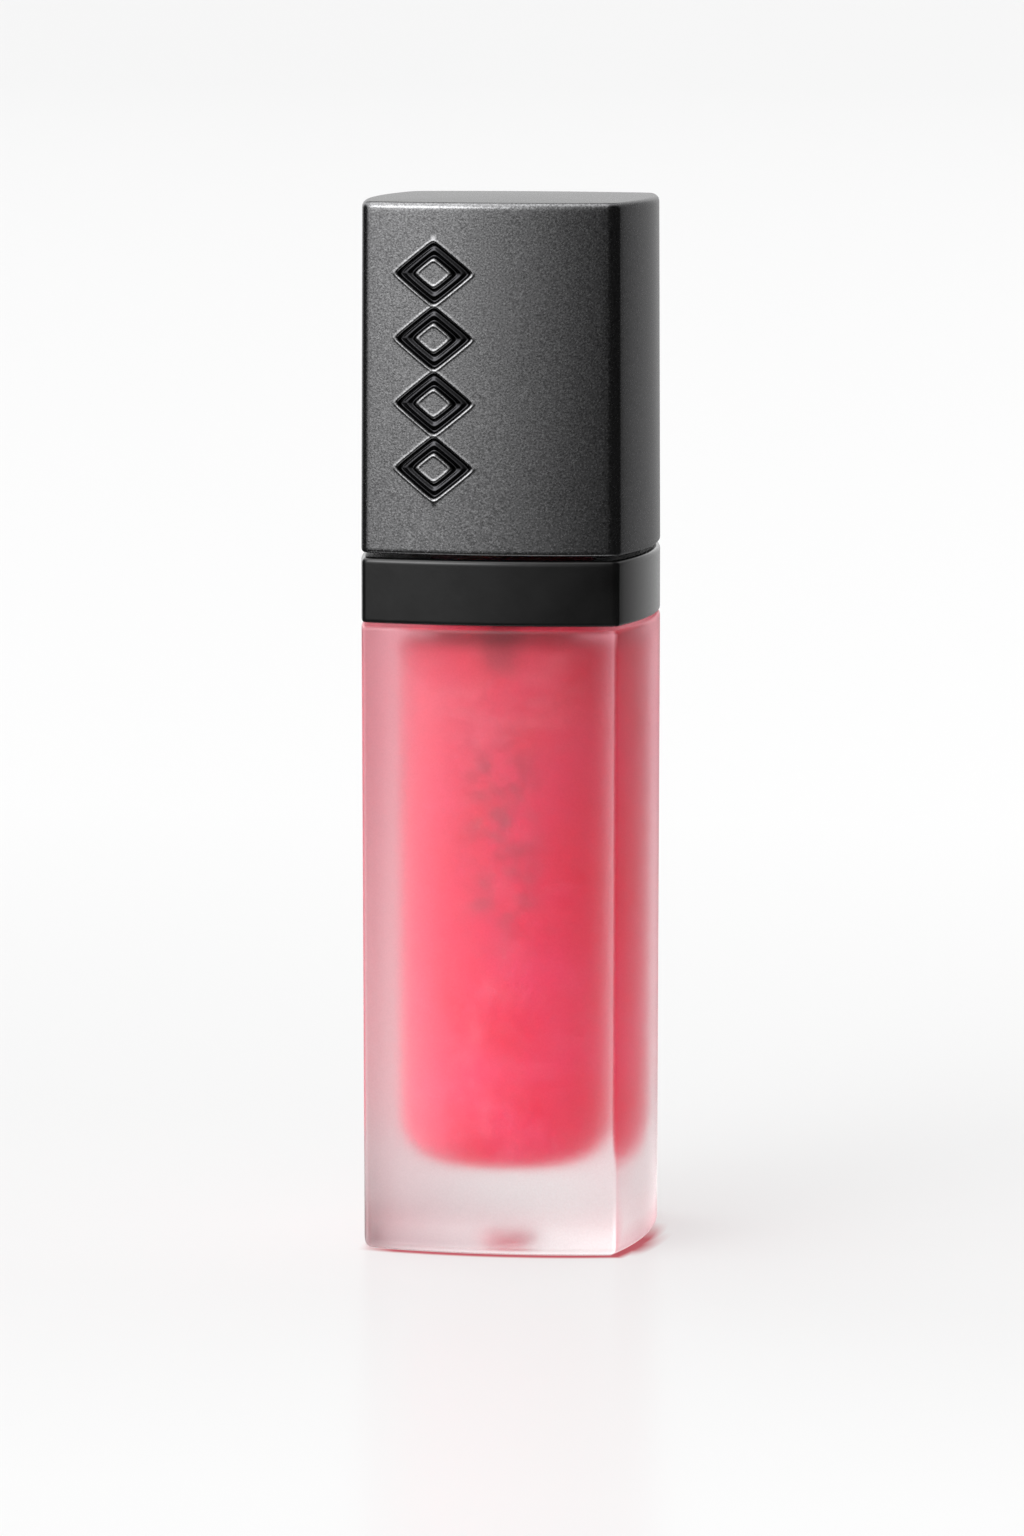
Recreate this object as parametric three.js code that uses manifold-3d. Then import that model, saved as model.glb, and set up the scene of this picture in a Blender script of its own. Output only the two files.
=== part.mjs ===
// Lip gloss tube with a square section of four bowed faces, standing on its base.
// A frosted thick-wall bottle holds the gloss. Its threaded neck passes through a black collar,
// and a wiper plugs the neck. The charcoal cap screws on and carries the applicator.
// Millimetres, +Z up, origin at the centre of the base, front face towards -Y.

import * as THREE from 'three';
import { mergeVertices } from 'three/addons/utils/BufferGeometryUtils.js';
import Module from 'manifold-3d';

const wasm = await Module();
wasm.setup();

// ---- Driving dimensions ----

// Section shared by the bottle, the collar and the cap
const FACE_WIDTH = 21.0;       // across opposite faces, at the middle of their bow
const FACE_BOW = 1.2;          // how far the middle of a face stands out past its edges
const END_SCALE = 0.989;       // width of the base and of the cap's top, by moulding draft
const SEAM_GAP = 0.3;
const FIT_GAP = 0.25;          // between pieces that are pressed or snapped together
const BOTTLE_CORNER = 0.45;    // radii of the upright corners
const COLLAR_CORNER = 0.7;
const CAP_CORNER = 1.1;
const BASE_EDGE = 0.5;         // radii of the level edges
const SHOULDER_EDGE = 0.25;
const COLLAR_EDGE = 0.35;
const SEAM_EDGE = 0.2;
const CAP_TOP_EDGE = 0.5;

// Heights above the base
const SHOULDER_Z = 45.5;
const COLLAR_HEIGHT = 4.75;
const CAP_HEIGHT = 25.4;
const NECK_TOP_Z = 59.6;

// Bottle
const CAVITY_RADIUS = 7.1;
const CAVITY_FLOOR_Z = 5.6;
const CAVITY_ROOF_Z = 44.4;
const CAVITY_CORNER = 3.4;
const ROOF_CORNER = 0.6;
const NECK_RADIUS = 5.9;
const NECK_CHAMFER = 0.4;
const BORE_RADIUS = 4.5;
const BEAD_RADIUS = 6.5;       // snap bead that holds the collar
const BEAD_Z = 48.0;
const BEAD_LAND = 0.3;
const GATE_RADIUS = 2.2;       // round recess under the base
const GATE_DEPTH = 0.55;
const GLOSS_TOP_Z = 48.4;      // in the bore, just below the wiper's lip

// Collar and wiper
const COLLAR_WALL = 1.6;
const HUB_WALL = 1.4;
const WIPER_WALL = 0.8;
const WIPER_FLANGE = 0.7;
const SLEEVE_LENGTH = 7.5;     // of the wiper below the neck's top
const LIP_DROP = 10.8;         // from the neck's top to the wiper's lower end

// Screw thread of the neck and of the cap
const THREAD_LEAD = 2.5;
const THREAD_TURNS = 1.5;
const THREAD_CREST_RADIUS = 6.5;
const THREAD_CREST = 0.4;      // half width of the crest
const THREAD_FOOT = 0.85;      // half width at the root
const THREAD_ROOT = 0.3;       // depth buried in the wall
const THREAD_CLEARANCE = 0.2;  // radial, between the two threads' crests
const THREAD_RUNOUT = 0.09;    // share of the thread's length over which each end sinks

// Cap
const CAP_WALL = 1.4;
const CAP_ROOF = 1.8;
const BARREL_WALL = 1.2;
const BARREL_ROOF = 1.6;
const PLATE_THICKNESS = 1.2;
const PLATE_RISE = 0.4;        // of the plate above the cap's mouth
const SOCKET_RADIUS = 4.2;
const SOCKET_DEPTH = 6.5;
const RIB_WIDTH = 1.2;
const RIB_REACH = 1.3;         // beyond the barrel
const WASHER_THICKNESS = 0.8;

// Applicator
const STEM_RADIUS = 2.0;
const PLUG_RADIUS = 2.65;      // of the stem's upper end, in the socket
const PLUG_LENGTH = 6.2;
const STEM_END_Z = 24.0;
const TIP_RADIUS = 2.1;
const TIP_END_Z = 12.0;
const TIP_SLANT = 15;          // degrees between the doe-foot's flat face and the stem
const TIP_NOSE = 1.4;          // length of the round nose over its radius
const TAIL_RADIUS = 1.1;       // of the tip's tail, in the stem's hole
const TAIL_LENGTH = 3.4;
const FLOCK_THICKNESS = 0.5;
const PASSAGE_RADIUS = 2.95;   // of the wiper's lip and of the gloss's channel

// Decoration pressed into the front of the cap: a column of hollow lozenges
const LOZENGE_COUNT = 4;
const LOZENGE_WIDTH = 5.6;
const LOZENGE_HEIGHT = 4.5;
const LOZENGE_BAND = 0.95;
const LOZENGE_DEPTH = 0.35;
const LOZENGE_GAP = 0.15;
const LOZENGE_X = -3.9;
const LOZENGE_RISE = 0.5;      // of the column's middle above the cap's

// ---- Heights that follow ----

const HALF_WIDTH = FACE_WIDTH / 2;
const COLLAR_Z = SHOULDER_Z + FIT_GAP;
const COLLAR_TOP_Z = COLLAR_Z + COLLAR_HEIGHT;
const CAP_Z = COLLAR_TOP_Z + SEAM_GAP;
const CAP_TOP_Z = CAP_Z + CAP_HEIGHT;
const WIPER_TOP_Z = NECK_TOP_Z + FIT_GAP + WIPER_FLANGE;
const WASHER_Z = WIPER_TOP_Z + FIT_GAP;
const CEILING_Z = WASHER_Z + WASHER_THICKNESS + FIT_GAP;

// ---- Solids ----

const ROUND_SEGMENTS = 40;
const SMALL_SEGMENTS = 24;
const THREAD_SEGMENTS = 24;    // in each turn
const CUT = 1;                 // how far a cutter stands out past what it cuts

function toSolid(geometry) {
  const bare = geometry.clone();
  bare.deleteAttribute('normal');
  bare.deleteAttribute('uv');
  const merged = mergeVertices(bare, 1e-4);
  return new wasm.Manifold(new wasm.Mesh({
    numProp: 3,
    vertProperties: new Float32Array(merged.attributes.position.array),
    triVerts: new Uint32Array(merged.index.array),
  }));
}

function toMesh(name, solid, colour, roughness, metalness = 0) {
  const { vertProperties, triVerts } = solid.getMesh();
  const geometry = new THREE.BufferGeometry();
  geometry.setAttribute('position', new THREE.BufferAttribute(vertProperties, 3));
  geometry.setIndex(new THREE.BufferAttribute(triVerts, 1));
  geometry.computeVertexNormals();
  const material = new THREE.MeshStandardMaterial({ color: colour, roughness, metalness });
  const mesh = new THREE.Mesh(geometry, material);
  mesh.name = name;
  return mesh;
}

// Points of an arc, without its last one, so that arcs follow each other without a double point.
function arc(x, y, radius, start, end, steps) {
  const points = new THREE.EllipseCurve(x, y, radius, radius, start, end).getPoints(steps);
  return points.slice(0, -1);
}

// The section: four bowed faces joined by rounded corners.
function bowedSquare(cornerRadius, faceSteps = 8, cornerSteps = 3) {
  const edge = HALF_WIDTH - FACE_BOW;
  const faceRadius = (edge ** 2 + FACE_BOW ** 2) / (2 * FACE_BOW);
  const setback = faceRadius - HALF_WIDTH;
  const reach = faceRadius - cornerRadius;
  const corner = (Math.sqrt(2 * reach ** 2 - setback ** 2) - setback) / 2;
  const sweep = Math.atan2(corner, corner + setback);
  const points = [];
  for (let side = 0; side < 4; side++) {
    const turn = side * Math.PI / 2;
    const faceX = -setback * Math.cos(turn);
    const faceY = -setback * Math.sin(turn);
    const cornerX = corner * Math.SQRT2 * Math.cos(turn + Math.PI / 4);
    const cornerY = corner * Math.SQRT2 * Math.sin(turn + Math.PI / 4);
    points.push(...arc(faceX, faceY, faceRadius, turn - sweep, turn + sweep, faceSteps));
    points.push(...arc(cornerX, cornerY, cornerRadius,
      turn + sweep, turn + Math.PI / 2 - sweep, cornerSteps));
  }
  return new THREE.Shape(points);
}

// A square body from its levels, each a height and half the width across the faces there.
function squareBody(cornerRadius, levels) {
  const steps = levels.length - 1;
  const geometry = new THREE.ExtrudeGeometry(bowedSquare(cornerRadius),
    { depth: steps, steps, bevelEnabled: false });
  const position = geometry.attributes.position;
  for (let i = 0; i < position.count; i++) {
    const [height, half] = levels[Math.round(position.getZ(i))];
    const scale = half / HALF_WIDTH;
    position.setXYZ(i, position.getX(i) * scale, position.getY(i) * scale, height);
  }
  return toSolid(geometry);
}

// A turned body about the Z axis from its outline, a list of radius and height pairs.
function turned(outline, segments = ROUND_SEGMENTS) {
  const points = outline.map(([radius, height]) => new THREE.Vector2(radius, height));
  const geometry = new THREE.LatheGeometry(points, segments);
  geometry.rotateX(Math.PI / 2);
  return toSolid(geometry);
}

// Half width of the outside at a height: full at the seam, narrower towards both ends.
function halfWidthAt(height) {
  const fullAtSeam = (distance, span) => 1 - (1 - END_SCALE) * distance / span;
  if (height < SHOULDER_Z) {
    return HALF_WIDTH * fullAtSeam(SHOULDER_Z - height, SHOULDER_Z);
  }
  return HALF_WIDTH * fullAtSeam(Math.max(0, height - CAP_Z), CAP_HEIGHT);
}

// Levels that round an edge of the outside at a height. Direction 1 is a top edge, -1 a bottom one.
function roundedEdge(height, radius, direction, steps = 3) {
  const levels = [];
  for (let i = 0; i <= steps; i++) {
    const angle = (direction > 0 ? i : steps - i) / steps * Math.PI / 2;
    const level = height - direction * radius * (1 - Math.sin(angle));
    levels.push([level, halfWidthAt(level) - radius * (1 - Math.cos(angle))]);
  }
  return levels;
}

// The path of a thread's middle line, with both ends sinking towards the wall that carries it.
class ThreadCurve extends THREE.Curve {
  constructor(radius, startZ, sink) {
    super();
    this.radius = radius;
    this.startZ = startZ;
    this.sink = sink;
  }

  getPoint(t, target = new THREE.Vector3()) {
    const end = Math.min(1, Math.min(t, 1 - t) / THREAD_RUNOUT);
    const radius = this.radius - this.sink * (1 - end);
    const angle = t * THREAD_TURNS * 2 * Math.PI;
    const height = this.startZ + t * THREAD_TURNS * THREAD_LEAD;
    return target.set(radius * Math.cos(angle), radius * Math.sin(angle), height);
  }

  // Normals point straight out from the axis, so the section never rolls about the path.
  computeFrenetFrames(segments) {
    const tangents = [];
    const normals = [];
    const binormals = [];
    for (let i = 0; i <= segments; i++) {
      const point = this.getPointAt(i / segments);
      const tangent = this.getTangentAt(i / segments);
      const normal = new THREE.Vector3(point.x, point.y, 0).normalize();
      tangents.push(tangent);
      normals.push(normal);
      binormals.push(new THREE.Vector3().crossVectors(tangent, normal).normalize());
    }
    return { tangents, normals, binormals };
  }
}

// A thread of trapezoid section. Side 1 stands out from a neck, side -1 stands in from a barrel.
function thread(wallRadius, crestRadius, startZ, side) {
  const depth = Math.abs(crestRadius - wallRadius);
  const section = new THREE.Shape([
    new THREE.Vector2(-side * THREAD_ROOT, -side * THREAD_FOOT),
    new THREE.Vector2(side * depth, -side * THREAD_CREST),
    new THREE.Vector2(side * depth, side * THREAD_CREST),
    new THREE.Vector2(-side * THREAD_ROOT, side * THREAD_FOOT),
  ]);
  const path = new ThreadCurve(wallRadius, startZ, side * (depth + THREAD_ROOT / 2));
  return toSolid(new THREE.ExtrudeGeometry(section,
    { steps: Math.round(THREAD_TURNS * THREAD_SEGMENTS), extrudePath: path }));
}

// ---- Bottle ----

// Outline of the cavity or of what fills it, drawn in from the cavity's wall by an inset.
function cavityOutline(inset) {
  const radius = CAVITY_RADIUS - inset;
  const floor = CAVITY_FLOOR_Z + inset;
  const roof = CAVITY_ROOF_Z - inset;
  const corner = CAVITY_CORNER - inset;
  const steps = 5;
  const outline = [[0, floor]];
  for (let i = 0; i <= steps; i++) {
    const angle = i / steps * Math.PI / 2;
    outline.push([radius - corner * (1 - Math.sin(angle)), floor + corner * (1 - Math.cos(angle))]);
  }
  outline.push([radius, roof - ROOF_CORNER]);
  outline.push([radius - ROOF_CORNER, roof]);
  return outline;
}

function bottle() {
  const outside = squareBody(BOTTLE_CORNER, [
    ...roundedEdge(0, BASE_EDGE, -1),
    ...roundedEdge(SHOULDER_Z, SHOULDER_EDGE, 1, 2),
  ]);
  const neck = turned([
    [0, CAVITY_ROOF_Z],
    [NECK_RADIUS, CAVITY_ROOF_Z],
    [NECK_RADIUS, BEAD_Z - 0.5],
    [BEAD_RADIUS, BEAD_Z],
    [BEAD_RADIUS, BEAD_Z + BEAD_LAND],
    [NECK_RADIUS, BEAD_Z + BEAD_LAND + 1],
    [NECK_RADIUS, NECK_TOP_Z - NECK_CHAMFER],
    [NECK_RADIUS - NECK_CHAMFER, NECK_TOP_Z],
    [0, NECK_TOP_Z],
  ]);
  const cavity = turned([...cavityOutline(0), [0, CAVITY_ROOF_Z]]);
  const bore = turned([
    [0, CAVITY_ROOF_Z - CUT],
    [BORE_RADIUS, CAVITY_ROOF_Z - CUT],
    [BORE_RADIUS, NECK_TOP_Z + CUT],
    [0, NECK_TOP_Z + CUT],
  ]);
  const gate = turned([
    [0, -CUT],
    [GATE_RADIUS, -CUT],
    [GATE_RADIUS, GATE_DEPTH / 2],
    [GATE_RADIUS * 0.85, GATE_DEPTH],
    [0, GATE_DEPTH],
  ], SMALL_SEGMENTS);
  const neckThread = thread(NECK_RADIUS, THREAD_CREST_RADIUS, COLLAR_TOP_Z + 2.6, 1);
  return outside.add(neck).add(neckThread).subtract(cavity).subtract(bore).subtract(gate);
}

// The gloss fills the cavity and the foot of the bore, but for the applicator's channel.
function glossFill() {
  const fill = turned([
    ...cavityOutline(FIT_GAP),
    [BORE_RADIUS - FIT_GAP, CAVITY_ROOF_Z - FIT_GAP],
    [BORE_RADIUS - FIT_GAP, GLOSS_TOP_Z],
    [0, GLOSS_TOP_Z],
  ]);
  const channel = turned([
    [0, TIP_END_Z - 1.5],
    [PASSAGE_RADIUS - 1, TIP_END_Z - 1.2],
    [PASSAGE_RADIUS, TIP_END_Z],
    [PASSAGE_RADIUS, GLOSS_TOP_Z + CUT],
    [0, GLOSS_TOP_Z + CUT],
  ], SMALL_SEGMENTS);
  return fill.subtract(channel);
}

// The collar covers the foot of the neck. Its hub snaps under the neck's bead.
function collar() {
  const outside = squareBody(COLLAR_CORNER, [
    ...roundedEdge(COLLAR_Z, SEAM_EDGE, -1, 1),
    ...roundedEdge(COLLAR_TOP_Z, COLLAR_EDGE, 1, 2),
  ]);
  const hollow = squareBody(COLLAR_CORNER, [
    [COLLAR_Z - CUT, HALF_WIDTH - COLLAR_WALL],
    [COLLAR_TOP_Z - COLLAR_WALL, HALF_WIDTH - COLLAR_WALL],
  ]);
  const hubRadius = BEAD_RADIUS + HUB_WALL;
  const hub = turned([
    [0, COLLAR_Z + 0.2],
    [hubRadius, COLLAR_Z + 0.2],
    [hubRadius, COLLAR_TOP_Z - 0.5],
    [0, COLLAR_TOP_Z - 0.5],
  ]);
  const opening = turned([
    [0, COLLAR_Z - CUT],
    [NECK_RADIUS + FIT_GAP, COLLAR_Z - CUT],
    [NECK_RADIUS + FIT_GAP, BEAD_Z - 0.8],
    [BEAD_RADIUS + FIT_GAP, BEAD_Z - 0.3],
    [BEAD_RADIUS + FIT_GAP, COLLAR_TOP_Z + CUT],
    [0, COLLAR_TOP_Z + CUT],
  ]);
  return outside.subtract(hollow).add(hub).subtract(opening);
}

// The wiper is a soft plug: a flange on the neck, a sleeve in the bore and a lip below.
function wiper() {
  const sleeve = BORE_RADIUS - FIT_GAP;
  const inside = sleeve - WIPER_WALL;
  const sleeveEnd = NECK_TOP_Z - SLEEVE_LENGTH;
  const lipZ = NECK_TOP_Z - LIP_DROP;
  const rim = NECK_RADIUS - 0.3;
  return turned([
    [sleeve, sleeveEnd],
    [sleeve, NECK_TOP_Z + FIT_GAP],
    [rim - 0.2, NECK_TOP_Z + FIT_GAP],
    [rim, WIPER_TOP_Z - 0.2],
    [rim - 0.2, WIPER_TOP_Z],
    [inside + 0.6, WIPER_TOP_Z],
    [inside, WIPER_TOP_Z - 0.6],
    [inside, sleeveEnd + 0.3],
    [PASSAGE_RADIUS, lipZ + 0.6],
    [PASSAGE_RADIUS, lipZ],
    [PASSAGE_RADIUS + 0.45, lipZ + 0.2],
    [sleeve, sleeveEnd],
  ]);
}

// ---- Cap ----

// A lozenge's corners, with an inset taken off its half width.
function lozengeShape(inset) {
  const reach = LOZENGE_WIDTH / 2 - inset;
  const rise = reach * LOZENGE_HEIGHT / LOZENGE_WIDTH;
  return [
    new THREE.Vector2(reach, 0),
    new THREE.Vector2(0, rise),
    new THREE.Vector2(-reach, 0),
    new THREE.Vector2(0, -rise),
  ];
}

// A column of hollow lozenges, as the prism that presses them into the front face.
function lozengeColumn() {
  const pitch = LOZENGE_HEIGHT + LOZENGE_GAP;
  const middleZ = (CAP_Z + CAP_TOP_Z) / 2 + LOZENGE_RISE;
  const band = new THREE.Shape(lozengeShape(0));
  band.holes.push(new THREE.Path(lozengeShape(LOZENGE_BAND * 1.5)));
  const lozenges = [];
  for (let i = 0; i < LOZENGE_COUNT; i++) {
    const geometry = new THREE.ExtrudeGeometry(band, { depth: CAP_WALL + CUT, bevelEnabled: false });
    geometry.rotateX(Math.PI / 2);
    geometry.translate(LOZENGE_X, CAP_WALL - HALF_WIDTH, middleZ + (i - (LOZENGE_COUNT - 1) / 2) * pitch);
    lozenges.push(toSolid(geometry));
  }
  return wasm.Manifold.union(lozenges);
}

function outerCap() {
  const body = (inset) => squareBody(CAP_CORNER, [
    ...roundedEdge(CAP_Z, SEAM_EDGE, -1, 1),
    ...roundedEdge(CAP_TOP_Z, CAP_TOP_EDGE, 1, 4),
  ].map(([height, half]) => [height, half - inset]));
  const roofZ = CAP_TOP_Z - CAP_ROOF;
  const hollow = squareBody(CAP_CORNER, [
    [CAP_Z - CUT, HALF_WIDTH - CAP_WALL],
    [roofZ, halfWidthAt(roofZ) - CAP_WALL],
  ]);
  const pressed = lozengeColumn().subtract(body(LOZENGE_DEPTH));
  return body(0).subtract(hollow).subtract(pressed);
}

// The inner cap: a threaded barrel, a plate that closes the cap's mouth, and a ribbed socket.
function innerCap() {
  const crest = THREAD_CREST_RADIUS + THREAD_CLEARANCE;
  const bore = crest + THREAD_CREST_RADIUS - NECK_RADIUS;
  const barrel = bore + BARREL_WALL;
  const bottom = CAP_Z + PLATE_RISE;
  const barrelTop = CEILING_Z + BARREL_ROOF;
  const ribTop = CAP_TOP_Z - CAP_ROOF - 0.5;
  const plate = squareBody(CAP_CORNER, [
    [bottom, HALF_WIDTH - CAP_WALL - FIT_GAP],
    [bottom + PLATE_THICKNESS, HALF_WIDTH - CAP_WALL - FIT_GAP],
  ]);
  const tower = turned([
    [0, bottom],
    [barrel, bottom],
    [barrel, barrelTop],
    [SOCKET_RADIUS, barrelTop + 1],
    [SOCKET_RADIUS, ribTop],
    [0, ribTop],
  ]);
  const ribs = [1, 3].map((eighth) => {
    const rib = new THREE.BoxGeometry(2 * (barrel + RIB_REACH), RIB_WIDTH, ribTop - bottom);
    rib.translate(0, 0, (bottom + ribTop) / 2);
    rib.rotateZ(eighth * Math.PI / 4);
    return toSolid(rib);
  });
  const opening = turned([
    [0, bottom - CUT],
    [bore + 0.3, bottom - CUT],
    [bore + 0.3, bottom + 0.1],
    [bore, bottom + 0.5],
    [bore, CEILING_Z],
    [PLUG_RADIUS + FIT_GAP, CEILING_Z],
    [PLUG_RADIUS + FIT_GAP, CEILING_Z + SOCKET_DEPTH],
    [0, CEILING_Z + SOCKET_DEPTH],
  ]);
  const upperHollow = turned([
    [0, CEILING_Z + SOCKET_DEPTH + BARREL_ROOF],
    [SOCKET_RADIUS - BARREL_WALL, CEILING_Z + SOCKET_DEPTH + BARREL_ROOF],
    [SOCKET_RADIUS - BARREL_WALL, ribTop + CUT],
    [0, ribTop + CUT],
  ], SMALL_SEGMENTS);
  const capThread = thread(bore, crest, bottom + 2.2, -1);
  return wasm.Manifold.union([plate, tower, ...ribs])
    .subtract(opening).subtract(upperHollow).add(capThread);
}

function sealWasher() {
  const inner = STEM_RADIUS + 0.6;
  const outer = THREAD_CREST_RADIUS;
  return turned([
    [inner, WASHER_Z],
    [outer, WASHER_Z],
    [outer, WASHER_Z + WASHER_THICKNESS],
    [inner, WASHER_Z + WASHER_THICKNESS],
    [inner, WASHER_Z],
  ]);
}

// ---- Applicator ----

function applicatorStem() {
  const plugTop = CEILING_Z + PLUG_LENGTH;
  const rod = turned([
    [0, STEM_END_Z],
    [STEM_RADIUS - 0.2, STEM_END_Z],
    [STEM_RADIUS, STEM_END_Z + 0.3],
    [STEM_RADIUS, CEILING_Z - 0.3],
    [PLUG_RADIUS, CEILING_Z + 0.4],
    [PLUG_RADIUS, plugTop - 0.6],
    [STEM_RADIUS, plugTop],
    [0, plugTop],
  ], SMALL_SEGMENTS);
  const tailHole = turned([
    [0, STEM_END_Z - CUT],
    [TAIL_RADIUS + FIT_GAP, STEM_END_Z - CUT],
    [TAIL_RADIUS + FIT_GAP, STEM_END_Z + TAIL_LENGTH + 0.6],
    [0, STEM_END_Z + TAIL_LENGTH + 0.6],
  ], SMALL_SEGMENTS);
  return rod.subtract(tailHole);
}

// The doe-foot shape grown by a margin: a round-ended rod with one slanted face near its end.
function doeFoot(margin, topZ) {
  const radius = TIP_RADIUS + margin;
  const endZ = TIP_END_Z + FLOCK_THICKNESS - margin;
  const steps = 5;
  const outline = [[0, endZ]];
  for (let i = 1; i <= steps; i++) {
    const angle = i / steps * Math.PI / 2;
    outline.push([radius * Math.sin(angle), endZ + radius * TIP_NOSE * (1 - Math.cos(angle))]);
  }
  outline.push([radius, topZ]);
  outline.push([0, topZ]);
  const reach = 3 * TIP_RADIUS;
  const cutter = new THREE.BoxGeometry(2 * reach, reach, 4 * reach);
  cutter.translate(0, -reach / 2 - margin, 0);
  cutter.rotateX(THREE.MathUtils.degToRad(TIP_SLANT));
  cutter.translate(0, 0, TIP_END_Z + 2);
  return turned(outline, SMALL_SEGMENTS).subtract(toSolid(cutter));
}

function applicatorTip() {
  const shoulderZ = STEM_END_Z - 0.3;
  const tail = turned([
    [0, shoulderZ - CUT],
    [TAIL_RADIUS, shoulderZ - CUT],
    [TAIL_RADIUS, STEM_END_Z + TAIL_LENGTH],
    [0, STEM_END_Z + TAIL_LENGTH],
  ], SMALL_SEGMENTS);
  return doeFoot(0, shoulderZ).add(tail);
}

// The flocking is a sleeve over the tip, a hair clear of it.
function tipFlocking() {
  const topZ = STEM_END_Z - 1.2;
  return doeFoot(FLOCK_THICKNESS, topZ).subtract(doeFoot(0.12, topZ + CUT));
}

// ---- The assembly ----

const tube = new THREE.Group();
tube.name = 'lip_gloss_tube';
tube.add(
  toMesh('bottle', bottle(), 0xecc6ca, 0.45),
  toMesh('gloss_fill', glossFill(), 0xf05a70, 0.25),
  toMesh('collar', collar(), 0x1d1f20, 0.35),
  toMesh('wiper', wiper(), 0xe9e4e2, 0.5),
  toMesh('outer_cap', outerCap(), 0x4a4b4d, 0.42, 0.35),
  toMesh('inner_cap', innerCap(), 0x202122, 0.5),
  toMesh('seal_washer', sealWasher(), 0xf0efec, 0.7),
  toMesh('applicator_stem', applicatorStem(), 0x232324, 0.35),
  toMesh('applicator_tip', applicatorTip(), 0x2c2b2c, 0.6),
  toMesh('tip_flocking', tipFlocking(), 0xe8b9bd, 0.95),
);

export default tube;
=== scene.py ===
"""Looks of the lip gloss tube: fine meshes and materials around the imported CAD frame.

Geometry is worked out in millimetres, in the frame's own axes, and turned into metres as a mesh is made.
Heights and widths come from the frame's boxes. The front face is towards -Y.
"""

import math

import bpy
import numpy as np
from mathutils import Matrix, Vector


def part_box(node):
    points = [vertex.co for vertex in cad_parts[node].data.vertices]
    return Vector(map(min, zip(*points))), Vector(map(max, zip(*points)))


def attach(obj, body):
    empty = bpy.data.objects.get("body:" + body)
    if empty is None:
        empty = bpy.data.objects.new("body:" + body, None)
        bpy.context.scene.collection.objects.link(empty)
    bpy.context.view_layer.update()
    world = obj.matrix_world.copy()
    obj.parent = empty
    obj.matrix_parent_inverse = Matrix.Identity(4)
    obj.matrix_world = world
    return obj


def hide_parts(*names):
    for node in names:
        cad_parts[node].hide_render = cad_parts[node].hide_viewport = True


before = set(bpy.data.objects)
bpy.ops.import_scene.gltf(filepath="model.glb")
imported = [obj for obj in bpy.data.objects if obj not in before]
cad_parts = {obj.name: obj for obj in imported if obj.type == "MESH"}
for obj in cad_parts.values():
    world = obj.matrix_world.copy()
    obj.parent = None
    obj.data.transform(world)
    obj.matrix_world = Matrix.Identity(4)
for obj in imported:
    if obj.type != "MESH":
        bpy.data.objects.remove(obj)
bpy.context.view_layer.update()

MM = 0.001

# ---- Sizes in millimetres ----

FACE_BOW = 1.2              # how far the middle of a face stands out past its edges
DRAFT = 0.011               # share of the width lost at the base and at the cap's top
DOME_RISE = 0.14            # of the cap's top, above its edge
FACE_CURVE = 0.014          # fall of a bowed face, per millimetre squared from its middle

BOTTLE_CORNER = 0.45
BOTTLE_BASE_EDGE = 0.55
COLLAR_CORNER = 0.7
COLLAR_WALL = 1.6
CAP_CORNER = 1.1
CAP_TOP_EDGE = 0.45
CAP_WALL = 1.4
CAP_ROOF = 1.8

GATE_RADIUS = 2.2
GATE_DEPTH = 0.55
CAVITY_RADIUS = 7.1
CAVITY_FLOOR = 5.6
CAVITY_ROOF = 44.4
CAVITY_CORNER = 3.4
ROOF_CORNER = 0.6
NECK_RADIUS = 5.9
BORE_RADIUS = 4.5
BEAD_RADIUS = 6.5
BEAD_Z = 48.0
FIT_GAP = 0.25
WET = 0.03                  # how far the gloss reaches into the walls it wets
CHANNEL_RADIUS = 2.75       # the gloss's, around the applicator
PASSAGE_RADIUS = 2.95       # the wiper's

THREAD_LEAD = 2.5
THREAD_TURNS = 1.5
THREAD_DEPTH = 0.6
THREAD_CREST = 0.4          # half width of the crest
THREAD_FOOT = 0.8           # half width at the root
THREAD_RUNOUT = 0.09

STEM_RADIUS = 2.0
STEM_END_Z = 24.0
TIP_END_Z = 12.0
TIP_SLANT = math.radians(15)

LOZENGE_COUNT = 4
LOZENGE_WIDTH = 5.6
LOZENGE_HEIGHT = 4.5
LOZENGE_PITCH = 4.65
LOZENGE_BAND = 0.95
LOZENGE_DEPTH = 0.35
LOZENGE_X = -3.9
LOZENGE_RISE = 0.5          # of the column's middle above the cap's
LOZENGE_RAMP = 0.2          # width of the sloping side of the pressed band
LOZENGE_CROWN = 0.1         # rise of the band's floor along its middle
LOZENGE_TIP = 0.06          # rounding of the lozenge's points, as a share of its half width
LOZENGE_BEAD = 0.09         # half width of the raised bead around a band
LOZENGE_BEAD_HEIGHT = 0.03
FINE_STEP = 0.07            # of the mesh across the lozenges


def box_mm(node):
    """Lowest and highest corner of a CAD node in millimetres."""
    low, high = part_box(node)
    return low / MM, high / MM


BOTTLE_HIGH = box_mm("bottle")[1]
COLLAR_LOW, COLLAR_HIGH = box_mm("collar")
CAP_LOW, CAP_HIGH = box_mm("outer_cap")
INNER_LOW, INNER_HIGH = box_mm("inner_cap")
WIPER_LOW, WIPER_HIGH = box_mm("wiper")
WASHER_LOW, WASHER_HIGH = box_mm("seal_washer")
STEM_HIGH = box_mm("applicator_stem")[1]
FLOCK_HIGH = box_mm("tip_flocking")[1]
GLOSS_HIGH = box_mm("gloss_fill")[1]

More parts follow.
